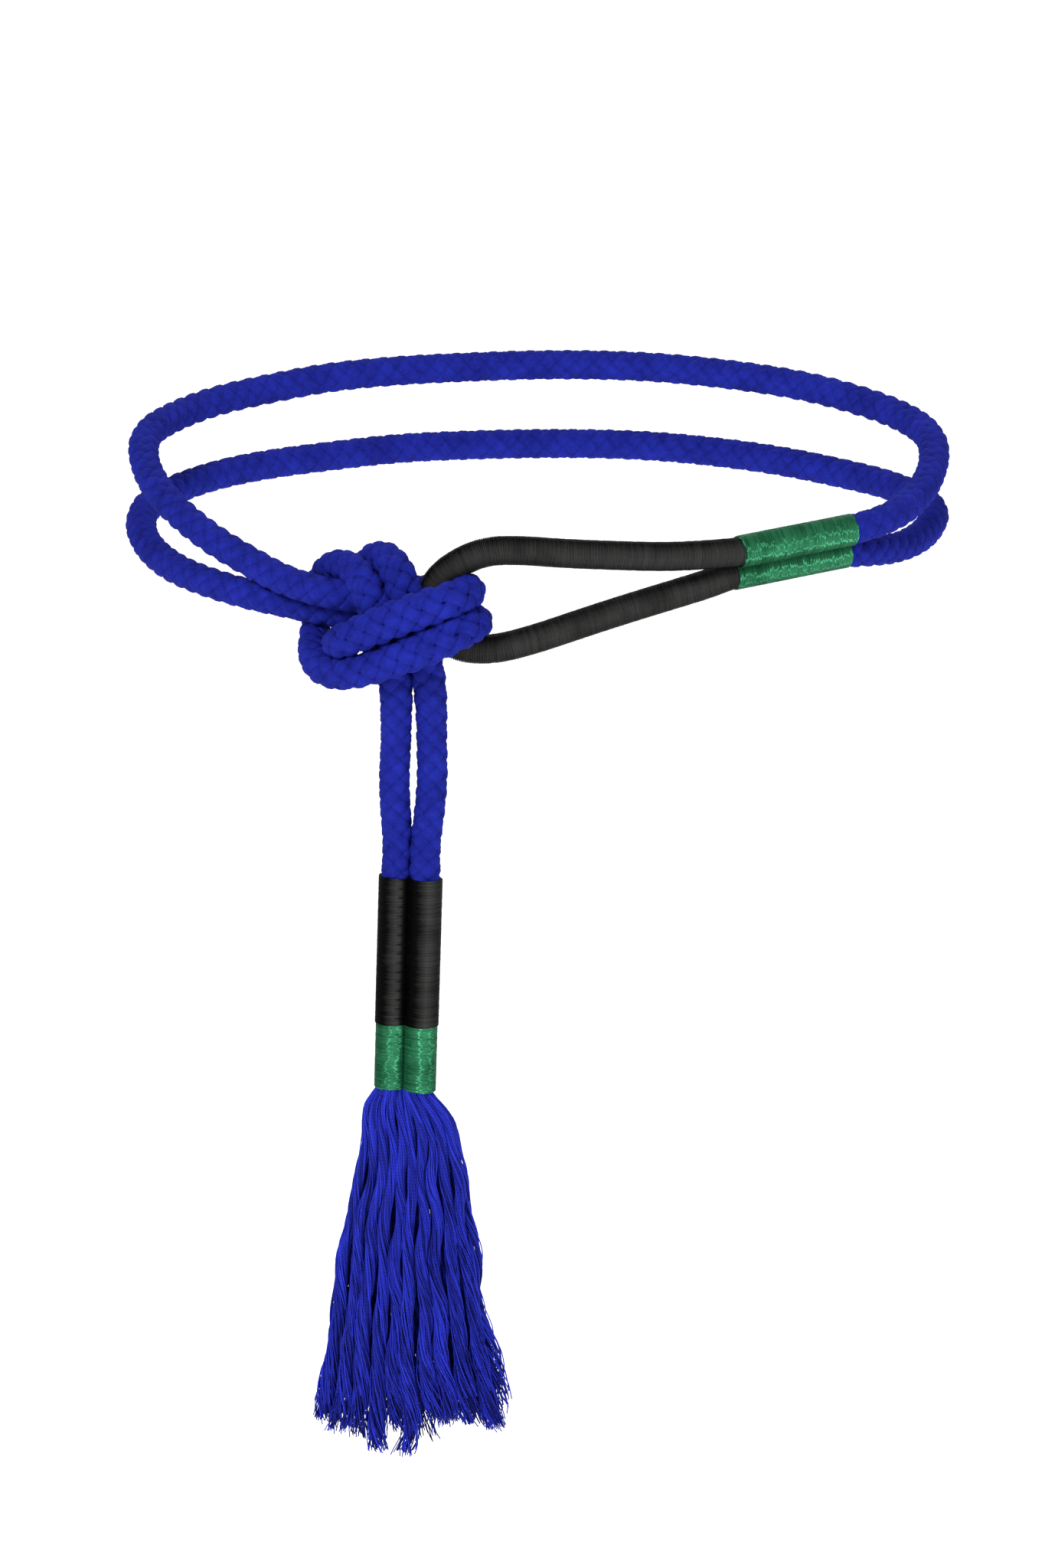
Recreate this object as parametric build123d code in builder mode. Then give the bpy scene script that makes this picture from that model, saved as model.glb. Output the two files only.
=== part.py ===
"""Rope belt: a doubled rope with a whipped eye, a half-hitch knot, two bound tails and a tassel.

Millimetres, +Z up as worn, +X to the wearer's left seen from in front, -Y the front.
The origin is the centre of the waist loop.
"""
from build123d import *
import math
import os

# ---- driving dimensions -------------------------------------------------------------
ROPE_D = 10.4            # laid-up braid, loose
EYE_ROPE_D = 8.6         # the same rope squeezed by the thread round the eye
WHIPPING_D = 10.2        # outside of the thread round the eye
THROAT_PITCH = 10.4      # between the two ropes inside the throat seizing
THROAT_LOBE_D = 10.9     # outside of one lobe of the throat seizing
TAIL_PITCH = 10.6        # between the two ropes inside the tail seizings
TAIL_ROPE_D = 10.0       # the rope squeezed by the tail seizings
TAIL_LOBE_D = 11.4       # outside of one lobe of the tail seizings
BLACK_LENGTH = 53.8
GREEN_LENGTH = 23.7
JOINT_GAP = 0.3          # between solids that move past each other

# ---- places ---------------------------------------------------------------------------
THROAT_START = Vector(109.9, -63.8, -5.7)     # where the waist ropes come in
THROAT_END = Vector(69.4, -86.8, -8.7)      # where the eye begins
THROAT_STACK = Vector(0.19, -0.45, 0.88)   # from the lower rope to the upper one
TAIL_PIVOT_Y = -112.0
TAIL_PIVOT_Z = -55.5
BOUND_TOP = Vector(-45.5, -113.2, -116.3)
BOUND_AXIS = Vector(-0.03, 0, -1)
BOUND_YAW = 15.0                           # the right rope stands this much forward

# ---- the routes of the rope -------------------------------------------------------------
WAIST_UPPER = [
    (110.9, -66.3, -1.2), (121.5, -60, 0.5), (130.5, -46.5, 2), (138.5, -25, 5), (143.5, -1, 9.5),
    (143.5, 21, 14.5), (135, 43, 17), (120.5, 60, 19.5), (98, 76, 22.5), (73, 88, 24),
    (47.5, 94, 25.5), (24.5, 98, 25.8), (-1, 100, 25.5), (-26.5, 98, 25), (-52.5, 94, 24.5),
    (-78, 84, 24), (-100, 72, 22), (-119.5, 57, 20.5), (-134.5, 37, 18.5), (-143.5, 16, 16.5),
    (-143.5, -4, 11.5), (-138.5, -25, 6), (-129, -44, 0), (-116, -60, -6.5), (-102, -72, -12),
]
WAIST_LOWER = [
    (108.9, -61.3, -10.4), (119.5, -52, -12), (130, -35, -14.5), (139.5, -15, -14), (144.5, 5, -11),
    (140.5, 24, -9.5), (130, 46, -9), (115, 62, -8.5), (94, 77, -7), (73, 88, -6),
    (47.5, 94, -4.5), (24.5, 98, -4.2), (-1, 100, -4.5), (-27, 98, -4.7), (-52.5, 94, -5),
    (-78, 84, -6), (-100.5, 72, -6.5), (-120, 57, -7.5), (-135.5, 36, -9), (-144, 17, -11),
    (-145, -2, -14.5), (-140.5, -22, -18), (-131, -41, -21), (-117.5, -58, -22.5), (-102, -71, -24),
]
KNOT_UPPER = [
    (-102, -72, -12), (-91.5, -82, -15.5), (-80.5, -90, -17.5), (-69, -96, -18.5),
    (-56, -98, -18.3), (-43, -96.5, -17.3), (-29.5, -97.8, -15.7),
    (-23.6, -111.5, -13.3), (-29.5, -124, -13), (-39, -125.5, -16), (-51, -124.5, -20.5),
    (-62.5, -122, -26), (-69.6, -118, -29.8), (-71.2, -106, -34), (-70.2, -96.5, -36.5),
    (-68.5, -87, -38.5), (-66.5, -78, -34), (-65, -76, -25), (-63.3, -77.5, -15.5),
    (-60.2, -84, -8.6), (-55.8, -93, -4.6), (-51.2, -103, -5.6), (-47.8, -110.5, -11.8),
    (-45, -113.5, -20.5), (-42.3, -113.5, -30.5), (-39.6, -113, -40.5), (-38.4, -112, -50),
]
KNOT_LOWER = [
    (-102, -71, -24), (-92, -76, -25), (-80.5, -81.3, -26.3), (-69, -87, -27),
    (-55.5, -93, -28), (-42, -95.5, -28.5), (-28, -98.5, -26.8),
    (-21, -112, -23.8), (-27, -124.5, -24.3), (-36.5, -125.5, -29), (-48, -124, -34),
    (-61, -121, -39.3), (-71.8, -114.5, -43), (-78.8, -104, -41.7), (-79.9, -94, -39),
    (-80, -84, -38.5), (-79.4, -74, -34), (-78.8, -70.5, -26), (-77.3, -72, -17.4),
    (-74, -79, -11.8), (-69.2, -88, -8.8), (-64.3, -98, -8.9), (-60.3, -106.5, -14),
    (-57.3, -110.5, -21), (-54.5, -111.5, -29.5), (-51.6, -112, -39.5), (-50.3, -112, -50),
]
EYE = [
    (70.4, -89.1, -4.2), (59.5, -93.5, -4.2), (44.5, -98, -4), (26, -102.5, -2.5), (8, -106, -1),
    (-6.5, -108, 0.6), (-19, -109, 0.6), (-29.5, -108.5, -4.2), (-36.8, -107, -11),
    (-39.2, -106, -20), (-36.5, -106.5, -29), (-28.5, -107.5, -34.8), (-16, -107, -35.5),
    (-1.5, -104, -32.3), (13.5, -100, -28), (28.5, -95.5, -24), (44.5, -91, -20),
    (59.5, -86.7, -16.3), (68.4, -84.5, -13.2),
]
TAIL_LEFT = [
    (-50.5, TAIL_PIVOT_Y, TAIL_PIVOT_Z), (-50.5, -112, -67), (-51.3, -112, -80),
    (-51.2, -112, -92), (-50.25, -111.8, -104), (-50.6, -111.8, -115.9),
]
TAIL_RIGHT = [
    (-38, TAIL_PIVOT_Y, TAIL_PIVOT_Z), (-38, -112, -67), (-37.7, -112, -80),
    (-38.4, -113, -92), (-40, -114.5, -104), (-40.4, -114.6, -115.9),
]

# ---- the tassel -----------------------------------------------------------------------
RING_HANKS = 7            # round one hank in the middle of each rope end
HANK_RING_R = 3.4
HANK_R = 1.42
TURN_R = 6.8              # what turns under the green seizing stays inside this radius
TASSEL_PIVOT = BLACK_LENGTH + GREEN_LENGTH + TURN_R + JOINT_GAP   # down the bound axis
NECK_DEPTH = 12.0         # below the pivot
NECK_SPREAD = 1.75
TASSEL_DEPTH = 108.0
TASSEL_SPREAD = 3.0
UNEVEN = (0, 4, -3, 2, -5, 3, 1, -2)       # how much longer each hank is


def corner_radii(points):
    """A tangent arc for every corner, as large as the shorter run allows."""
    radii = []
    for before, corner, after in zip(points, points[1:], points[2:]):
        run_in = Vector(corner) - Vector(before)
        run_out = Vector(after) - Vector(corner)
        half_turn = math.radians(run_in.get_angle(run_out)) / 2
        radii.append(0.45 * min(run_in.length, run_out.length) / math.tan(half_turn))
    return radii


def rope_tube(points, outside, inside=0.0, domed=False):
    """A tube along a route, hollow if inside is given, with a domed upper end if asked."""
    with BuildPart() as tube:
        with BuildLine() as route:
            FilletPolyline(*points, radius=corner_radii(points))
        with BuildSketch(Plane(origin=route.line @ 0, z_dir=route.line % 0)):
            Circle(outside / 2)
            if inside:
                Circle(inside / 2, mode=Mode.SUBTRACT)
        sweep()
        if domed:
            with Locations(points[0]):
                Sphere(outside / 2, arc_size1=0, arc_size2=90)
    length = route.wire().length
    section = math.pi * (outside ** 2 - inside ** 2) / 4
    print("  length", round(length, 1), "smallest bend", round(min(corner_radii(points)), 1),
          "volume / section x length", round(tube.part.volume / (section * length), 3))
    return tube


def bound_plane(depth):
    """The plane across the bound tails at a depth below the top of the black seizing."""
    turned = Vector(1, 0, 0).rotate(Axis.Z, -BOUND_YAW)
    down = BOUND_AXIS.normalized()
    return Plane(origin=BOUND_TOP + down * depth, x_dir=turned, z_dir=down)


def bound_rope(side):
    """One rope inside the tail seizings: side is -1 for the left, 1 for the right."""
    with BuildPart() as rope:
        with BuildSketch(bound_plane(0)):
            with Locations((side * TAIL_PITCH / 2, 0)):
                Circle(TAIL_ROPE_D / 2)
        extrude(amount=BLACK_LENGTH + GREEN_LENGTH)
    return rope


def lobed_seizing(plane, pitch, lobe, rope, length):
    """Thread bound round two ropes, with a groove between its lobes."""
    with BuildPart() as seizing:
        with BuildSketch(plane):
            with Locations((-pitch / 2, 0), (pitch / 2, 0)):
                Circle(lobe / 2)
            with Locations((-pitch / 2, 0), (pitch / 2, 0)):
                Circle(rope / 2, mode=Mode.SUBTRACT)
        extrude(amount=length)
    return seizing


def throat_rope(side):
    """One rope inside the throat seizing: side is 1 for the upper, -1 for the lower."""
    with BuildPart() as rope:
        with BuildSketch(throat):
            with Locations((side * THROAT_PITCH / 2, 0)):
                Circle(EYE_ROPE_D / 2)
        extrude(amount=throat_length)
    return rope


def hank(x, y, longer):
    """One wavy hank of yarn, drawn as its plain outline, spreading as it goes down."""
    top = TASSEL_PIVOT - math.sqrt(TURN_R ** 2 - (abs(y) + HANK_R) ** 2)
    end = TASSEL_DEPTH + longer
    end_spread = NECK_SPREAD + (TASSEL_SPREAD - NECK_SPREAD) * (end - NECK_DEPTH) / (
        TASSEL_DEPTH - NECK_DEPTH)
    stations = [
        (top, 1.0),
        (TASSEL_PIVOT, 1.0),
        (TASSEL_PIVOT + NECK_DEPTH, NECK_SPREAD),
        (TASSEL_PIVOT + end, end_spread),
    ]
    with BuildPart() as yarn:
        for depth, spread in stations:
            with BuildSketch(bound_plane(depth)):
                with Locations((x * spread, y * spread)):
                    Circle(HANK_R * spread)
        loft(ruled=True)
    return yarn


def save(piece, name):
    """Label a piece and write it out."""
    piece.part.label = name
    export_step(piece.part, f"parts/{name}.step")
    print(name, "volume", round(piece.part.volume), "valid", piece.part.is_valid)


os.makedirs("parts", exist_ok=True)

throat = Plane(origin=THROAT_START, x_dir=THROAT_STACK, z_dir=THROAT_END - THROAT_START)
throat_length = (THROAT_END - THROAT_START).length

save(rope_tube(WAIST_UPPER, ROPE_D), "waist_rope_upper")
save(rope_tube(WAIST_LOWER, ROPE_D), "waist_rope_lower")
save(rope_tube(KNOT_UPPER, ROPE_D), "knot_strand_upper")
save(rope_tube(KNOT_LOWER, ROPE_D), "knot_strand_lower")
save(rope_tube(EYE, EYE_ROPE_D), "eye_rope")
save(rope_tube(EYE, WHIPPING_D, EYE_ROPE_D), "eye_whipping")
save(throat_rope(1), "throat_rope_upper")
save(throat_rope(-1), "throat_rope_lower")
save(lobed_seizing(throat, THROAT_PITCH, THROAT_LOBE_D, EYE_ROPE_D, throat_length),
     "throat_seizing")
save(rope_tube(TAIL_LEFT, ROPE_D, domed=True), "tail_rope_left")
save(rope_tube(TAIL_RIGHT, ROPE_D, domed=True), "tail_rope_right")
save(bound_rope(-1), "bound_rope_left")
save(bound_rope(1), "bound_rope_right")
save(lobed_seizing(bound_plane(0), TAIL_PITCH, TAIL_LOBE_D, TAIL_ROPE_D, BLACK_LENGTH),
     "tail_black_seizing")
save(lobed_seizing(bound_plane(BLACK_LENGTH), TAIL_PITCH, TAIL_LOBE_D, TAIL_ROPE_D, GREEN_LENGTH),
     "tail_green_seizing")

for side, word in ((-1, "left"), (1, "right")):
    places = [(side * TAIL_PITCH / 2, 0.0)]
    for turn in range(RING_HANKS):
        angle = 2 * math.pi * turn / RING_HANKS
        places.append((side * (TAIL_PITCH / 2 + HANK_RING_R * math.cos(angle)),
                       HANK_RING_R * math.sin(angle)))
    for number, (x, y) in enumerate(places):
        save(hank(x, y, UNEVEN[number]), f"tassel_hank_{word}_{number + 1}")
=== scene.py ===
"""The looks of a rope belt: braided rope, thread bindings and a yarn tassel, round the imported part."""
import math
import random

import bmesh
import bpy
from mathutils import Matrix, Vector


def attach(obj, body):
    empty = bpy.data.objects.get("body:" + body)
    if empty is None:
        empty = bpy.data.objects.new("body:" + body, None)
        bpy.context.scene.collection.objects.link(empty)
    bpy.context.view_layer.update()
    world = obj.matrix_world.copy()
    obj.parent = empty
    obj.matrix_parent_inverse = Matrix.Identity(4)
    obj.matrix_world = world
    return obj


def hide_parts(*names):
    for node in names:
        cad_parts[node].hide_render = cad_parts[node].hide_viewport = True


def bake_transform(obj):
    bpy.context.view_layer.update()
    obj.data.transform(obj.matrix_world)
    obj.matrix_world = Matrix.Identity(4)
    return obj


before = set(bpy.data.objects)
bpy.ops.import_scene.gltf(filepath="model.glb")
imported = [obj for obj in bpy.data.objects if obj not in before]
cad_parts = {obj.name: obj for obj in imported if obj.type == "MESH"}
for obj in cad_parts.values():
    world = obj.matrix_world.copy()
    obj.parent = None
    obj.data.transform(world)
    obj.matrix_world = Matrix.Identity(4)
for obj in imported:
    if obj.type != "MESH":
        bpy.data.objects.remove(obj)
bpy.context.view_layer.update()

MM = 0.001

# ---- sizes in millimetres, as in the part ---------------------------------------------
WHIPPING_D = 10.2
THROAT_PITCH = 10.4
THROAT_LOBE_D = 10.9
TAIL_PITCH = 10.6
TAIL_LOBE_D = 11.4
BLACK_LENGTH = 53.8
GREEN_LENGTH = 23.7
LAY = 27.5               # one full turn of a strand round the rope
THREAD_PITCH = 0.55      # from one turn of thread to the next
THREAD_RADIUS = 0.31
SCALLOP = 3.4            # length of one scallop of the groove between two bound ropes
SPLIT_Z = -92.0          # where each tail is cut into the pieces of its two hinges
KNOT_MIDDLE = Vector((-44, -121, -22))     # the rope is squashed wider round here

THROAT_START = Vector((109.9, -63.8, -5.7))
THROAT_END = Vector((69.4, -86.8, -8.7))
THROAT_STACK = Vector((0.19, -0.45, 0.88))
BOUND_TOP = Vector((-45.5, -113.2, -116.3))
BOUND_AXIS = Vector((-0.03, 0, -1)).normalized()
BOUND_ACROSS = Vector((math.cos(math.radians(15)), -math.sin(math.radians(15)), 0))
TASSEL_PIVOT = BLACK_LENGTH + GREEN_LENGTH + 7.1

UPPER_STRAND = [
    (109.6, -66.9, -1.2), (110.9, -66.3, -1.2), (121.5, -60, 0.5), (130.5, -46.5, 2), (138.5, -25, 5),
    (143.5, -1, 9.5), (143.5, 21, 14.5), (135, 43, 17), (120.5, 60, 19.5), (98, 76, 22.5),
    (73, 88, 24), (47.5, 94, 25.5), (24.5, 98, 25.8), (-1, 100, 25.5), (-26.5, 98, 25),
    (-52.5, 94, 24.5), (-78, 84, 24), (-100, 72, 22), (-119.5, 57, 20.5), (-134.5, 37, 18.5),
    (-143.5, 16, 16.5), (-143.5, -4, 11.5), (-138.5, -25, 6), (-129, -44, 0), (-116, -60, -6.5),
    (-102, -72, -12), (-91.5, -82, -15.5), (-80.5, -90, -17.5), (-69, -96, -18.5),
    (-56, -98, -18.3), (-43, -96.5, -17.3), (-29.5, -97.8, -15.7), (-23.6, -111.5, -13.3),
    (-29.5, -124, -13), (-39, -125.5, -16), (-51, -124.5, -20.5), (-62.5, -122, -26),
    (-69.6, -118, -29.8), (-71.2, -106, -34), (-70.2, -96.5, -36.5), (-68.5, -87, -38.5),
    (-66.5, -78, -34), (-65, -76, -25), (-63.3, -77.5, -15.5), (-60.2, -84, -8.6),
    (-55.8, -93, -4.6), (-51.2, -103, -5.6), (-47.8, -110.5, -11.8), (-45, -113.5, -20.5),
    (-42.3, -113.5, -30.5), (-39.6, -113, -40.5), (-38.4, -112, -50), (-38, -112, -58),
    (-38, -112, -67), (-37.7, -112, -80), (-38.7, -113, -92), (-40.4, -114.3, -104),
    (-40.4, -114.6, -115.9), (-40.6, -114.6, -122),
]
LOWER_STRAND = [
    (107.6, -62.2, -10.4), (108.9, -61.3, -10.4), (119.5, -52, -12), (130, -35, -14.5),
    (139.5, -15, -14), (144.5, 5, -11), (140.5, 24, -9.5), (130, 46, -9), (115, 62, -8.5),
    (94, 77, -7), (73, 88, -6), (47.5, 94, -4.5), (24.5, 98, -4.2), (-1, 100, -4.5),
    (-27, 98, -4.7), (-52.5, 94, -5), (-78, 84, -6), (-100.5, 72, -6.5), (-120, 57, -7.5),
    (-135.5, 36, -9), (-144, 17, -11), (-145, -2, -14.5), (-140.5, -22, -18), (-131, -41, -21),
    (-117.5, -58, -22.5), (-102, -71, -24), (-92, -76, -25), (-80.5, -81.3, -26.3),
    (-69, -87, -27), (-55.5, -93, -28), (-42, -95.5, -28.5), (-28, -98.5, -26.8),
    (-21, -112, -23.8), (-27, -124.5, -24.3), (-36.5, -125.5, -29), (-48, -124, -34),
    (-61, -121, -39.3), (-71.8, -114.5, -43), (-78.8, -104, -41.7), (-79.9, -94, -39),
    (-80, -84, -38.5), (-79.4, -74, -34), (-78.8, -70.5, -26), (-77.3, -72, -17.4),
    (-74, -79, -11.8), (-69.2, -88, -8.8), (-64.3, -98, -8.9), (-60.3, -106.5, -14),
    (-57.3, -110.5, -21), (-54.5, -111.5, -29.5), (-51.6, -112, -39.5), (-50.3, -112, -50),
    (-50.5, -112, -58), (-50.5, -112, -67), (-51.3, -112, -80), (-50.9, -112, -92),
    (-49.9, -112, -104), (-50.6, -111.8, -115.9), (-50.8, -111.8, -122),
]
EYE = [
    (72.9, -87.7, -4), (70.4, -89.1, -4.2), (59.5, -93.5, -4.2), (44.5, -98, -4), (26, -102.5, -2.5),
    (8, -106, -1), (-6.5, -108, 0.6), (-19, -109, 0.6), (-29.5, -108.5, -4.2), (-36.8, -107, -11),
    (-39.2, -106, -20), (-36.5, -106.5, -29), (-28.5, -107.5, -34.8), (-16, -107, -35.5),
    (-1.5, -104, -32.3), (13.5, -100, -28), (28.5, -95.5, -24), (44.5, -91, -20),
    (59.5, -86.7, -16.3), (68.4, -84.5, -13.2), (70.9, -83.1, -13),
]


# ---- nodes as plain expressions -----------------------------------------------------------
class Value:
    """A node's output socket that can be used in ordinary arithmetic."""

    def __init__(self, tree, socket):
        self.tree = tree
        self.socket = socket

    def math(self, operation, *others):
        return self.tree.node("ShaderNodeMath", {"operation": operation}, (self, *others))

    def __add__(self, other):
        return self.math("ADD", other)

    def __radd__(self, other):
        return self.math("ADD", other)

    def __sub__(self, other):
        return self.math("SUBTRACT", other)

    def __rsub__(self, other):
        return self.tree.node("ShaderNodeMath", {"operation": "SUBTRACT"}, (other, self))

    def __mul__(self, other):
        return self.math("MULTIPLY", other)

    def __rmul__(self, other):
        return self.math("MULTIPLY", other)

    def __truediv__(self, other):
        return self.math("DIVIDE", other)

    def __pow__(self, other):
        return self.math("POWER", other)

    def held(self):
        """The value, kept between 0 and 1."""
        return self.math("MAXIMUM", 0.0).math("MINIMUM", 1.0)


class Tree:
    """A node tree that is written node by node, with values in place of sockets."""

    def __init__(self, tree):
        self.tree = tree

    def node(self, kind, settings=None, inputs=(), output=0):
        """Adds a node: settings first, then its inputs by place or by name. Gives one output."""
        made = self.tree.nodes.new(kind)
        for name, value in (settings or {}).items():
            setattr(made, name, value)
        sockets = [s for s in made.inputs if s.enabled]
        pairs = inputs.items() if isinstance(inputs, dict) else enumerate(inputs)
        for key, value in pairs:
            socket = sockets[key] if isinstance(key, int) else next(s for s in sockets if s.name == key)
            if isinstance(value, Value):
                self.tree.links.new(value.socket, socket)
            else:
                socket.default_value = value
        outputs = [s for s in made.outputs if s.enabled]
        if isinstance(output, str):
            return Value(self, next(s for s in outputs if s.name == output))
        return Value(self, outputs[output]) if outputs else None

    def vector(self, operation, *inputs, output=0):
        return self.node("ShaderNodeVectorMath", {"operation": operation}, inputs, output)

    def scaled(self, vector, amount):
        return self.node("ShaderNodeVectorMath", {"operation": "SCALE"},
                         {"Vector": vector, "Scale": amount})

    def mix(self, factor, a, b):
        return self.node("ShaderNodeMix", {"data_type": "RGBA"}, {"Factor": factor, "A": a, "B": b})


class Maker(Tree):
    """A geometry tree that turns guide lines into rope, thread or yarn."""

    KINDS = {"Geometry": "NodeSocketGeometry", "float": "NodeSocketFloat", "int": "NodeSocketInt",
             "vector": "NodeSocketVector", "material": "NodeSocketMaterial"}

    def __init__(self, name, **inputs):
        super().__init__(bpy.data.node_groups.new(name, "GeometryNodeTree"))
        self.names = {}
        self.tree.interface.new_socket("Geometry", in_out="INPUT", socket_type="NodeSocketGeometry")
        for word, kind in inputs.items():
            made = self.tree.interface.new_socket(word, in_out="INPUT", socket_type=self.KINDS[kind])
            self.names[word] = made.identifier
        self.tree.interface.new_socket("Geometry", in_out="OUTPUT", socket_type="NodeSocketGeometry")
        self.entry = self.tree.nodes.new("NodeGroupInput")

    def given(self, word):
        return Value(self, self.entry.outputs[word])

    def store(self, geometry, name, value, kind="FLOAT"):
        return self.node("GeometryNodeStoreNamedAttribute", {"data_type": kind, "domain": "POINT"},
                         {"Geometry": geometry, "Name": name, "Value": value})

    def random(self, low, high, number, seed):
        return self.node("FunctionNodeRandomValue", {"data_type": "FLOAT"},
                         {"Min": low, "Max": high, "ID": number, "Seed": seed})

    def circle(self, radius, corners):
        return self.node("GeometryNodeCurvePrimitiveCircle", {"mode": "RADIUS"},
                         {"Resolution": corners, "Radius": radius}, "Curve")

    def done(self, *geometry):
        joined = self.tree.nodes.new("GeometryNodeJoinGeometry")
        for piece in geometry:
            self.tree.links.new(piece.socket, joined.inputs[0])
        real = self.node("GeometryNodeRealizeInstances", {}, (Value(self, joined.outputs[0]),))
        painted = self.node("GeometryNodeSetMaterial", {},
                            {"Geometry": real, "Material": self.given("Material")})
        exit_node = self.tree.nodes.new("NodeGroupOutput")
        self.tree.links.new(painted.socket, exit_node.inputs[0])
        return self

    def make(self, name, guide, **values):
        """Runs the tree on a guide mesh and gives a plain mesh object."""
        carrier = bpy.data.objects.new(name + "_guide", guide)
        bpy.context.scene.collection.objects.link(carrier)
        modifier = carrier.modifiers.new("make", "NODES")
        modifier.node_group = self.tree
        for word, value in values.items():
            modifier[self.names[word]] = value
        depsgraph = bpy.context.evaluated_depsgraph_get()
        mesh = bpy.data.meshes.new_from_object(carrier.evaluated_get(depsgraph),
                                               preserve_all_data_layers=True, depsgraph=depsgraph)
        bpy.data.objects.remove(carrier)
        mesh.name = name
        mesh.shade_smooth()
        piece = bpy.data.objects.new(name, mesh)
        bpy.context.scene.collection.objects.link(piece)
        return piece


# ---- guide lines -----------------------------------------------------------------------
def smooth_lines(name, routes):
    """Smooth lines through the routes' control points, as one mesh of edges, in metres."""
    curve = bpy.data.curves.new(name, "CURVE")
    curve.dimensions = "3D"
    curve.resolution_u = 24
    for route in routes:
        spline = curve.splines.new("NURBS")
        spline.points.add(len(route) - 1)
        for point, place in zip(spline.points, route):
            point.co = (*(Vector(place) * MM), 1)
        spline.order_u = 3
        spline.use_endpoint_u = True
    carrier = bpy.data.objects.new(name, curve)
    bpy.context.scene.collection.objects.link(carrier)
    depsgraph = bpy.context.evaluated_depsgraph_get()
    mesh = bpy.data.meshes.new_from_object(carrier.evaluated_get(depsgraph))
    bpy.data.objects.remove(carrier)
    return mesh


def straight_line(name, start, end):
    mesh = bpy.data.meshes.new(name)
    mesh.from_pydata([start * MM, end * MM], [(0, 1)], [])
    return mesh


def line_length(points):
    return sum((b - a).length for a, b in zip(points, points[1:]))


# ---- makers ------------------------------------------------------------------------------
def braid_maker():
    """Eight strands, four each way round, each over one and under one, on a solid core."""
    t = Maker("braid", Lay="float", Reach="float", Weave="float", Width="float", Depth="float",
              Step="float", Swell="float", Swell_at="vector", Swell_reach="float",
              Material="material")
    line = t.node("GeometryNodeMeshToCurve", {}, {"Mesh": t.given("Geometry")})
    line = t.node("GeometryNodeResampleCurve", {"mode": "LENGTH"},
                  {"Curve": line, "Length": t.given("Step")})
    place = t.node("GeometryNodeInputPosition")
    away = t.vector("DISTANCE", place, t.given("Swell_at"), output="Value") / t.given("Swell_reach")
    near = (1.0 - away * away).math("MAXIMUM", 0.0)
    line = t.node("GeometryNodeSetCurveRadius", {},
                  {"Curve": line, "Radius": 1.0 + t.given("Swell") * near * near})
    strands = t.node("GeometryNodeDuplicateElements", {"domain": "SPLINE"},
                     {"Geometry": line, "Amount": 8})
    number = Value(t, strands.socket.node.outputs["Duplicate Index"])
    way = 1 - 2 * number.math("MODULO", 2)
    quarter = (number / 2).math("FLOOR")
    along = t.node("GeometryNodeSplineParameter", {}, (), "Length")
    turns = along / t.given("Lay")
    angle = way * turns * math.tau + quarter * (math.tau / 4)
    lift = way * (turns * (4 * math.tau)).math("COSINE")
    reach = (t.given("Reach") + t.given("Weave") * lift) * t.node("GeometryNodeInputRadius")
    tangent = t.node("GeometryNodeInputTangent")
    normal = t.node("GeometryNodeInputNormal")
    side = t.vector("CROSS_PRODUCT", tangent, normal)
    outward = t.vector("ADD", t.scaled(normal, angle.math("COSINE")),
                       t.scaled(side, angle.math("SINE")))
    strands = t.store(strands, "outward", outward, "FLOAT_VECTOR")
    # lift is the real over and under of each strand; the blue paint also reads it and darkens the
    # strands where they go under, as painted shade.
    strands = t.store(strands, "lift", lift)
    strands = t.store(strands, "along", along)
    strands = t.store(strands, "strand", number)
    strands = t.node("GeometryNodeSetPosition", {},
                     {"Geometry": strands, "Offset": t.scaled(outward, reach)})
    kept = t.node("GeometryNodeInputNamedAttribute", {"data_type": "FLOAT_VECTOR"},
                  {"Name": "outward"}, "Attribute")
    strands = t.node("GeometryNodeSetCurveNormal", {"mode": "FREE"},
                     {"Curve": strands, "Normal": kept})
    round_it = t.circle(1.0, 10)
    across = t.node("GeometryNodeSplineParameter", {}, (), "Factor")
    round_it = t.store(round_it, "across", across)
    shape = t.node("ShaderNodeCombineXYZ", {}, (t.given("Depth"), t.given("Width"), 1.0))
    flat = t.node("GeometryNodeTransform", {}, {"Geometry": round_it, "Scale": shape})
    body = t.node("GeometryNodeCurveToMesh", {}, {"Curve": strands, "Profile Curve": flat})
    core = t.node("GeometryNodeCurveToMesh", {},
                  {"Curve": line, "Profile Curve": t.circle(t.given("Reach") + 0.6 * MM, 18)})
    # The core is stored with the lowest lift, so the blue paint gives it its darkest tone: painted shade
    # deep between the strands.
    return t.done(body, t.store(core, "lift", -1.0))


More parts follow.
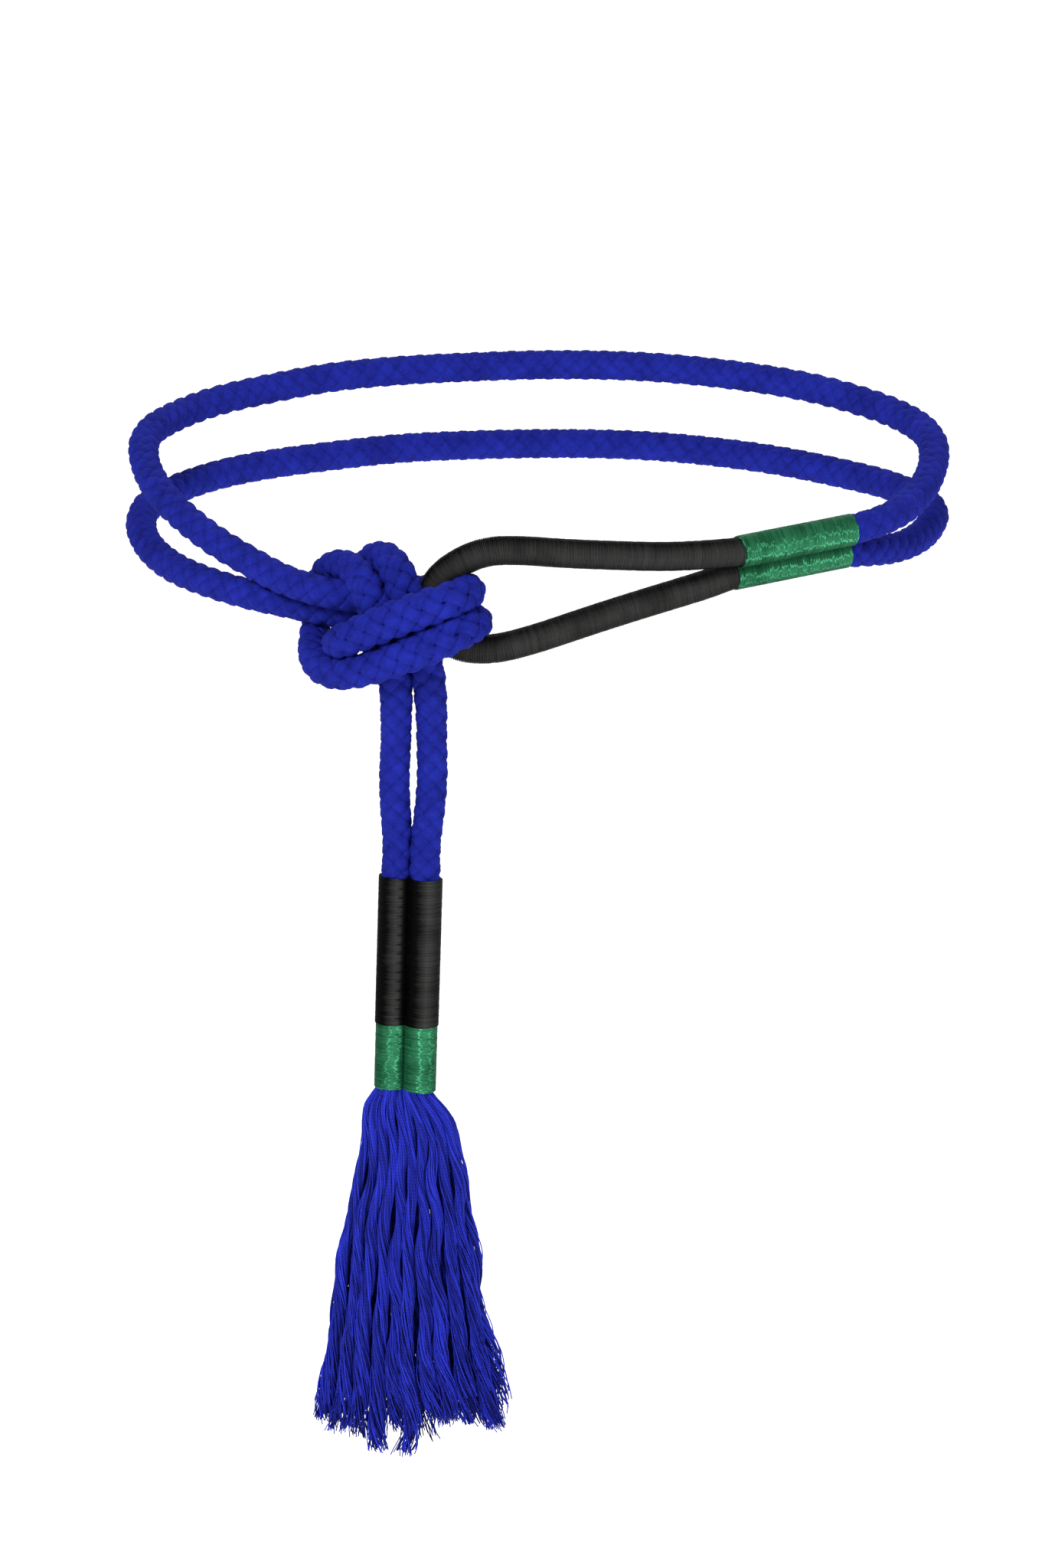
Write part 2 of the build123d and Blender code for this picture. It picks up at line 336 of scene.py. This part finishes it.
def thread_maker():
    """Turns of thread laid side by side round one rope, or round two with a groove between."""
    t = Maker("thread_turns", Across="vector", Half_gap="float", Radius="float", Pitch="float",
              Thread="float", Steps="float", Uneven="float", Under="float", Lobes="float",
              Shift="float", Grooved="float", Seed="int", Material="material")
    line = t.node("GeometryNodeMeshToCurve", {}, {"Mesh": t.given("Geometry")})
    turning = t.node("GeometryNodeResampleCurve", {"mode": "LENGTH"},
                     {"Curve": line, "Length": t.given("Pitch") / t.given("Steps")})
    along = t.node("GeometryNodeSplineParameter", {}, (), "Length")
    turns = along / t.given("Pitch")
    place = t.node("GeometryNodeInputPosition")
    wander = t.node("ShaderNodeTexNoise", {"noise_dimensions": "4D"},
                    {"Vector": place, "W": turns * 0.37 + t.given("Seed"), "Scale": 160.0,
                     "Detail": 2.0}, 0) - 0.5
    slip = t.node("ShaderNodeTexNoise", {"noise_dimensions": "1D"},
                  {"W": turns * 0.31 + t.given("Seed"), "Scale": 1.0, "Detail": 2.0}, 0) - 0.5
    angle = turns * math.tau
    sine, cosine = angle.math("SINE"), angle.math("COSINE")
    gap, radius = t.given("Half_gap"), t.given("Radius")
    reach = (gap * cosine.math("ABSOLUTE")
             + (radius * radius - gap * gap * sine * sine).math("SQRT")
             + t.given("Uneven") * (wander + slip))
    side = reach * cosine / (gap + radius)
    # crown runs from 0 at the edges of a lobe to 1 along its middle (for one rope, at its front and
    # back); the thread paint turns it into a painted highlight there and painted shade at the edges.
    # flank is the signed place across a lobe, where the paint lays its painted highlight streaks.
    flank = (side - t.given("Shift")).math("ABSOLUTE") * 2.0 - 1.0
    crown = (t.given("Lobes") * (1.0 - flank.math("ABSOLUTE"))
             + (1.0 - t.given("Lobes")) * side.math("ABSOLUTE") * 0.85)
    # groove marks the dip between the two lobes, on the front only, with a scalloped edge; the thread
    # paint darkens it there as painted shade.
    loops = (along * (math.pi / (SCALLOP * MM))).math("SINE").math("ABSOLUTE")
    groove = (((side + 0.26 - loops * 0.09) * 16.0).held() * (1.0 - (side * 3.5).held())
              * (sine * 4.0).held())
    tangent = t.node("GeometryNodeInputTangent")
    given = t.given("Across")
    leaning = t.vector("DOT_PRODUCT", given, tangent, output="Value")
    right = t.vector("NORMALIZE", t.vector("SUBTRACT", given, t.scaled(tangent, leaning)))
    up = t.vector("CROSS_PRODUCT", tangent, right)
    offset = t.vector("ADD", t.scaled(right, reach * cosine), t.scaled(up, reach * sine))
    offset = t.vector("ADD", offset, t.scaled(tangent, t.given("Pitch") * slip * 0.5))
    shade = t.random(0.0, 1.0, turns.math("FLOOR"), t.given("Seed"))
    turning = t.store(turning, "shade", shade)
    turning = t.store(turning, "crown", crown)
    turning = t.store(turning, "flank", flank)
    turning = t.store(turning, "groove", groove * t.given("Grooved"))
    turning = t.node("GeometryNodeSetPosition", {}, {"Geometry": turning, "Offset": offset})
    thread = t.node("GeometryNodeCurveToMesh", {},
                    {"Curve": turning, "Profile Curve": t.circle(t.given("Thread"), 5)})
    bed = t.node("GeometryNodeResampleCurve", {"mode": "LENGTH"}, {"Curve": line, "Length": 0.0015})
    bed = t.node("GeometryNodeCurveToMesh", {},
                 {"Curve": bed, "Profile Curve": t.circle(t.given("Under"), 20), "Fill Caps": True})
    return t.done(thread, bed)


def yarn_maker():
    """Many fine yarns round each guide, twisted, spreading and frayed to uneven ends."""
    t = Maker("loose_yarns", Yarns="int", Thread="float", Spread="float", Twist="float",
              Frizz="float", Ragged="float", Seed="int", Material="material")
    line = t.node("GeometryNodeMeshToCurve", {}, {"Mesh": t.given("Geometry")})
    line = t.node("GeometryNodeResampleCurve", {"mode": "COUNT"}, {"Curve": line, "Count": 56})
    yarns = t.node("GeometryNodeDuplicateElements", {"domain": "SPLINE"},
                   {"Geometry": line, "Amount": t.given("Yarns")})
    number = t.node("GeometryNodeFieldOnDomain", {"domain": "CURVE", "data_type": "INT"},
                    (t.node("GeometryNodeInputIndex"),))
    seed = t.given("Seed")
    down = t.node("GeometryNodeSplineParameter", {}, (), "Factor")
    start = t.random(0.0, math.tau, number, seed)
    far = t.random(0.02, 1.0, number, seed + 1) ** 0.5
    own_twist = t.random(0.85, 1.15, number, seed + 2)
    opening = down * 0.45 + 0.55 + down ** 9.0 * 0.5
    angle = start + t.given("Twist") * down * own_twist
    reach = t.given("Spread") * far * opening
    place = t.node("GeometryNodeInputPosition")
    drift = t.node("ShaderNodeTexNoise", {"noise_dimensions": "4D"},
                   {"Vector": place, "W": t.random(0.0, 40.0, number, seed + 3), "Scale": 60.0,
                    "Detail": 1.5}, "Color")
    drift = t.vector("SUBTRACT", drift, (0.5, 0.5, 0.5))
    loose = t.given("Frizz") * (down ** 2.0 * 1.6 + 0.25)
    offset = t.node("ShaderNodeCombineXYZ", {},
                    (reach * angle.math("COSINE"), reach * angle.math("SINE"), 0.0))
    offset = t.vector("ADD", offset, t.scaled(drift, loose))
    yarns = t.store(yarns, "shade", t.random(0.0, 1.0, number, seed + 4))
    yarns = t.store(yarns, "down", down)
    # far also sets painted shade in the yarn paint: the inner yarns of a hank come out darker.
    yarns = t.store(yarns, "far", far)
    yarns = t.node("GeometryNodeSetPosition", {}, {"Geometry": yarns, "Offset": offset})
    end = 1.0 - t.given("Ragged") * t.random(0.0, 1.0, number, seed + 5) ** 1.6
    yarns = t.node("GeometryNodeTrimCurve", {"mode": "FACTOR"}, {"Curve": yarns, "End": end})
    body = t.node("GeometryNodeCurveToMesh", {},
                  {"Curve": yarns, "Profile Curve": t.circle(t.given("Thread"), 3)})
    return t.done(body)


# ---- materials ---------------------------------------------------------------------------
class Paint(Tree):
    """A material built round one Principled shader."""

    def __init__(self, name, **fixed):
        material = bpy.data.materials.new(name)
        material.use_nodes = True
        super().__init__(material.node_tree)
        self.material = material
        self.shader = next(n for n in self.tree.nodes if n.type == "BSDF_PRINCIPLED")
        for word, value in fixed.items():
            self.shader.inputs[word.replace("_", " ")].default_value = value

    def attribute(self, name):
        return self.node("ShaderNodeAttribute", {"attribute_name": name}, (), "Fac")

    def noise(self, scale, detail):
        place = self.node("ShaderNodeTexCoord", {}, (), "Object")
        return self.node("ShaderNodeTexNoise", {"noise_dimensions": "3D"},
                         {"Vector": place, "Scale": scale, "Detail": detail}, 0)

    def colour(self, value):
        self.tree.links.new(value.socket, self.shader.inputs["Base Color"])

    def rough(self, value):
        self.tree.links.new(value.socket, self.shader.inputs["Roughness"])

    def raised(self, height, distance, strength):
        bump = self.node("ShaderNodeBump", {},
                         {"Strength": strength, "Distance": distance, "Height": height})
        self.tree.links.new(bump.socket, self.shader.inputs["Normal"])


def srgb(red, green, blue):
    """A colour given in the usual 0 to 255 steps."""
    def linear(step):
        value = step / 255
        return value / 12.92 if value <= 0.04045 else ((value + 0.055) / 1.055) ** 2.4
    return (linear(red), linear(green), linear(blue), 1.0)


def blue_braid():
    p = Paint("blue_braid", Sheen_Weight=0.0, Specular_IOR_Level=0.06)
    lift, along, across = p.attribute("lift"), p.attribute("along"), p.attribute("across")
    yarns = (across * (math.tau * 7) + along * 900.0).math("SINE")
    fuzz = p.noise(2600.0, 4.0)
    lumps = p.noise(500.0, 3.0)
    worn = p.noise(90.0, 3.0)
    # The lift term is painted shade: strands darker where they dive under their neighbours, and the core
    # darkest.
    tone = (fuzz - 0.5) * 0.9 + (worn - 0.5) * 0.8 + (lumps - 0.5) * 0.5 + lift * 0.14 + 0.5
    p.colour(p.mix(tone.held(), srgb(7, 11, 72), srgb(31, 41, 153)))
    p.rough(0.78 + fuzz * 0.2)
    p.raised(yarns * 0.18 + fuzz * 1.1 + lumps * 1.2, 0.00018, 0.8)
    return p.material


def bright_yarn():
    p = Paint("blue_yarn", Sheen_Weight=0.0, Specular_IOR_Level=0.10)
    shade, down, far = p.attribute("shade"), p.attribute("down"), p.attribute("far")
    fuzz = p.noise(3200.0, 3.0)
    twist = (down * 700.0).math("SINE")
    # The far term is painted shade: yarns deep in the middle of a hank are darker, the outer ones
    # lighter.
    tone = shade * 0.72 + (fuzz - 0.5) * 0.6 + twist * 0.08 + far * 0.65 - 0.47
    p.colour(p.mix(tone.held(), srgb(8, 12, 70), srgb(44, 56, 205)))
    p.rough(0.65 + fuzz * 0.25)
    p.raised(fuzz + twist * 0.3, 0.00010, 0.6)
    return p.material


def wound_thread(name, dark, light, gloss, ground, crown_highlight, streak_highlight, zigzag):
    """Thread laid side by side, with a painted highlight up to the crown of each lobe and painted shade
    towards its edges, and a jagged painted highlight streak down each flank.
    """
    p = Paint(name, Sheen_Weight=0.0, Specular_IOR_Level=0.04)
    shade, crown, groove = p.attribute("shade"), p.attribute("crown"), p.attribute("groove")
    # The thin jagged streaks down each flank are a painted highlight, the glint of silky thread,
    # jittered turn by turn; only the green thread is given them.
    flank = p.attribute("flank") + (shade - 0.5) * 0.3 + (p.noise(zigzag, 2.0) - 0.5) * 0.5
    fibre = p.noise(3000.0, 3.0)
    patch = p.noise(140.0, 3.0)
    smudge = ((p.noise(60.0, 4.0) - 0.52) * 6.0).held()
    near, far = flank + 0.22, flank - 0.34
    bright = (1.0 - near * near * 140.0).held() + (1.0 - far * far * 200.0).held() * 0.6
    # The crown term is a painted highlight along the middle of each lobe, with painted shade towards its
    # edges.
    tone = (ground + crown ** 1.5 * crown_highlight + shade * 0.16 + (fibre - 0.5) * 0.4
            + (patch - 0.5) * 0.3 + bright * streak_highlight)
    # The groove term is painted shade, darkening the dip between the two lobes.
    tone = tone * (1.0 - smudge * 0.4) * (1.0 - groove * 0.9)
    p.colour(p.mix(tone.held(), dark, light))
    p.rough(gloss + fibre * 0.2)
    p.raised(fibre, 0.00006, 0.6)
    return p.material


BLUE = blue_braid()
YARN = bright_yarn()
BLACK = wound_thread("black_thread", srgb(1, 1, 1), srgb(64, 64, 63), gloss=0.42, ground=-0.22,
                     crown_highlight=0.92, streak_highlight=0.0, zigzag=180.0)
GREEN = wound_thread("green_thread", srgb(10, 62, 37), srgb(80, 180, 130), gloss=0.34,
                     ground=-0.04, crown_highlight=0.32, streak_highlight=0.65, zigzag=480.0)


# ---- camera ------------------------------------------------------------------------------
def place_camera():
    """A long lens, in front and 14 degrees above the belt."""
    tilt = math.radians(14)
    aim = Vector((-0.00602, 0, -0.1108))
    away = Vector((0, -math.cos(tilt), math.sin(tilt)))
    data = bpy.data.cameras.new("camera")
    data.sensor_fit = "VERTICAL"
    data.sensor_height = 36
    data.lens = 36 * 3.2 / (2048 * 0.00028)
    data.clip_end = 50
    camera = bpy.data.objects.new("camera", data)
    camera.location = aim + away * 3.2
    camera.rotation_euler = (math.pi / 2 - tilt, 0, 0)
    bpy.context.scene.collection.objects.link(camera)
    bpy.context.scene.camera = camera


# ---- rope ----------------------------------------------------------------------------------
def cut_below(piece, height, name):
    """Splits off the faces whose middle is below a height, as a second piece."""
    mesh = piece.data
    low = [face.index for face in mesh.polygons if face.center.z < height * MM]
    other = piece.copy()
    other.data = mesh.copy()
    other.name = name
    bpy.context.scene.collection.objects.link(other)
    keep_faces(other, set(low))
    keep_faces(piece, set(range(len(mesh.polygons))) - set(low))
    return other


def keep_faces(piece, kept):
    """Deletes every face whose number is not in kept."""
    work = bmesh.new()
    work.from_mesh(piece.data)
    work.faces.ensure_lookup_table()
    gone = [face for face in work.faces if face.index not in kept]
    bmesh.ops.delete(work, geom=gone, context="FACES")
    work.to_mesh(piece.data)
    work.free()


def lay_rope(name, route, maker, nodes):
    """One strand of the doubled rope, from the throat, round the waist, through the knot and down."""
    line = smooth_lines(name, [route])
    centre = [v.co.copy() for v in line.vertices]
    rope = maker.make(name, line, Lay=LAY * MM, Reach=3.7 * MM, Weave=0.54 * MM, Width=2.6 * MM,
                      Depth=1.5 * MM, Step=1.0 * MM, Swell=0.31, Swell_at=KNOT_MIDDLE * MM,
                      Swell_reach=48 * MM, Material=BLUE)
    tail = cut_below(rope, SPLIT_Z, name + "_end")
    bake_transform(rope)
    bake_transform(tail)
    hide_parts(*nodes)
    shown = [p for p in centre if p.z > SPLIT_Z * MM][::6]
    line_length(shown)
    print(name, "length mm", round(line_length(centre) / MM), "faces", len(rope.data.polygons))


# ---- thread --------------------------------------------------------------------------------
def bind(name, line, maker, material, body, nodes=(), *, across, half_gap, radius, steps,
         seed, under, shift=0.0, groove_shade=0.0):
    """One binding: its turns of thread, steps points to a turn, over a bed of radius under.

    half_gap is half the distance between the two ropes that it binds, 0 for one rope. shift moves
    the painted highlight on the crown across the lobes, and the last keyword sets how much painted shade
    darkens the groove between them.
    """
    turns = maker.make(name, line, Across=across, Half_gap=half_gap * MM, Radius=radius * MM,
                       Pitch=THREAD_PITCH * MM, Thread=THREAD_RADIUS * MM, Steps=float(steps),
                       Uneven=0.14 * MM, Under=under * MM, Lobes=float(half_gap > 0), Shift=shift,
                       Grooved=groove_shade, Seed=seed, Material=material)
    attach(turns, body)
    if nodes:
        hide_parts(*nodes)
    print(name, "faces", len(turns.data.polygons))


def bind_all():
    maker = thread_maker()
    green_top = BOUND_TOP + BOUND_AXIS * BLACK_LENGTH
    green_end = BOUND_TOP + BOUND_AXIS * (BLACK_LENGTH + GREEN_LENGTH)
    bind("eye_thread", smooth_lines("eye", [EYE]), maker, BLACK, "belt",
         ("eye_whipping", "eye_rope"), across=(0, -1, 0), half_gap=0.0,
         radius=WHIPPING_D / 2 - 0.15, steps=16, seed=3, under=WHIPPING_D / 2 - 0.25)
    bind("throat_thread", straight_line("throat", THROAT_START, THROAT_END), maker, GREEN, "belt",
         across=THROAT_STACK, half_gap=THROAT_PITCH / 2,
         radius=THROAT_LOBE_D / 2 + 0.05, steps=44, seed=5, under=1.0, shift=0.15)
    bind("tail_black_thread", straight_line("tail_black", BOUND_TOP, green_top), maker, BLACK,
         "bound_tails", across=BOUND_ACROSS, half_gap=TAIL_PITCH / 2 + 0.15,
         radius=TAIL_LOBE_D / 2 + 0.15, steps=44, seed=8, under=1.0, shift=0.25, groove_shade=1.0)
    bind("tail_green_thread", straight_line("tail_green", green_top, green_end), maker, GREEN,
         "bound_tails", across=BOUND_ACROSS, half_gap=TAIL_PITCH / 2,
         radius=TAIL_LOBE_D / 2 - 0.05, steps=44, seed=11, under=1.0, shift=0.22, groove_shade=0.6)


def paint_cad():
    """The solids that stay: the beds of the bindings and the rope inside them."""
    paints = {"throat_seizing": GREEN, "tail_green_seizing": GREEN, "tail_black_seizing": BLACK,
              "throat_rope_upper": BLUE, "throat_rope_lower": BLUE, "bound_rope_left": BLUE,
              "bound_rope_right": BLUE}
    for name, material in paints.items():
        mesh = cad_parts[name].data
        mesh.materials.clear()
        mesh.materials.append(material)


# ---- tassel ----------------------------------------------------------------------------------
# Depth below the tassel's hinge, then how far the tassel reaches to the left and to the right.
REACH = [(-8.0, 8.4, 8.4), (-6.2, 8.8, 9.0), (-3.5, 10.4, 12.4), (0, 12.2, 16.2), (6, 13.2, 19.2),
         (14, 13.8, 20.6), (28, 15.8, 22.4), (42, 18.2, 24.6), (60, 22.0, 28.6),
         (80, 22.4, 29.6), (96, 23.4, 33.0), (114, 27.4, 39.0), (124, 28.0, 39.8)]
# Each layer's hanks from one rope end, the yarns in each, and the first of its four CAD hanks.
LAYERS = {"back": (12, 46, 1), "front": (5, 110, 5)}


def hank_route(rng, side, share, layer):
    """A hank's guide: out of a rope end, over a shoulder, then wavy and spreading.

    share is its place from the middle of the tassel (0) to its edge (1), layer from back to front.
    """
    across = (BOUND_ACROSS - BOUND_AXIS * BOUND_ACROSS.dot(BOUND_AXIS)).normalized()
    front = BOUND_AXIS.cross(across)
    wave, sway = rng.uniform(0, math.tau), rng.uniform(0, math.tau)
    size, pace = rng.uniform(1.0, 2.6), rng.uniform(22, 40)
    length = rng.uniform(0.92, 1.03) - 0.05 * share * (1 + side)
    start = side * (TAIL_PITCH / 2 + 4.3 * (2 * share - 1))
    hold = math.sqrt(max(0, 1 - (2 * share - 1) ** 2))
    thick = math.sqrt(1 - share * share * 0.9)
    route = []
    for depth, left, right in REACH:
        half, lean = (left + right) / 2, (right - left) / 2
        opened = min(1.0, max(0.0, (depth + 5.5) / 20)) ** 0.75
        down = depth * length if depth > 0 else depth
        free = size * min(1.0, max(0.0, depth / 45)) ** 0.7
        place = BOUND_TOP + BOUND_AXIS * (TASSEL_PIVOT + down)
        x = (start * half / 9.3 * (1 - opened) + side * (0.05 + 0.95 * share) * half * opened
             + lean * opened
             + free * math.sin(wave + math.tau * down / pace))
        y = (layer * (4.2 * hold * (1 - opened) + (4.6 + 0.075 * max(down, 0)) * thick * opened)
             + free * math.cos(sway + math.tau * down / (pace * 1.2)))
        route.append(place + across * x + front * y)
    return route


def make_tassel():
    maker = yarn_maker()
    rng = random.Random(41)
    for side, word in ((-1, "left"), (1, "right")):
        for layer, (hanks, yarns, first) in LAYERS.items():
            name = f"tassel_{layer}_{word}"
            depth = [0.95 if layer == "front" else 1.2 * ((n * 0.618 + 0.2) % 1) - 0.95
                     for n in range(hanks)]
            routes = [hank_route(rng, side, (n + 0.2) / (hanks - 0.5), depth[n])
                      for n in range(hanks)]
            tassel = maker.make(name, smooth_lines(name, routes), Yarns=yarns,
                                Thread=0.24 * MM, Spread=2.7 * MM, Twist=14.0,
                                Frizz=3.0 * MM, Ragged=0.12, Seed=21 + side + first,
                                Material=YARN)
            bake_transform(tassel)
            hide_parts(*[f"tassel_hank_{word}_{n}" for n in range(first, first + 4)])
            print(name, "faces", len(tassel.data.polygons))


# ---- room ------------------------------------------------------------------------------------
def light(name, place, aim, size, watts, colour=(1, 1, 1)):
    data = bpy.data.lights.new(name, "AREA")
    data.shape = "DISK"
    data.size = size
    data.energy = watts
    data.color = colour
    lamp = bpy.data.objects.new(name, data)
    lamp.location = place
    lamp.rotation_euler = (Vector(aim) - Vector(place)).to_track_quat("-Z", "Y").to_euler()
    bpy.context.scene.collection.objects.link(lamp)


def make_room():
    mesh = bpy.data.meshes.new("floor")
    mesh.from_pydata([(-30, -30, -0.95), (30, -30, -0.95), (30, 30, -0.95), (-30, 30, -0.95)], [],
                     [(0, 1, 2, 3)])
    paper = Paint("pale_paper", Roughness=0.9, Specular_IOR_Level=0.1)
    paper.colour(paper.mix(paper.noise(3.0, 2.0) * 0.1, srgb(252, 252, 252), srgb(246, 246, 246)))
    paper.shader.inputs["Emission Color"].default_value = (1, 1, 1, 1)
    paper.shader.inputs["Emission Strength"].default_value = 0.6
    mesh.materials.append(paper.material)
    floor = bpy.data.objects.new("floor", mesh)
    bpy.context.scene.collection.objects.link(floor)
    world = bpy.data.worlds.new("studio")
    world.use_nodes = True
    sky = world.node_tree.nodes["Background"]
    sky.inputs["Color"].default_value = (1, 1, 1, 1)
    sky.inputs["Strength"].default_value = 0.5
    bpy.context.scene.world = world
    light("key", (-1.1, -2.0, 1.7), (0, 0, -0.1), 1.0, 62)
    light("fill", (1.8, -2.0, 0.4), (0, 0, -0.1), 1.4, 24)
    light("rim", (0.2, 2.0, 1.6), (0, 0, -0.1), 1.4, 24)
    bpy.context.scene.view_settings.view_transform = "Standard"
    bpy.context.scene.view_settings.look = "None"


place_camera()
braid = braid_maker()
lay_rope("rope_upper", UPPER_STRAND, braid,
         ("waist_rope_upper", "knot_strand_upper", "tail_rope_right"))
lay_rope("rope_lower", LOWER_STRAND, braid,
         ("waist_rope_lower", "knot_strand_lower", "tail_rope_left"))
bind_all()
paint_cad()
make_tassel()
make_room()
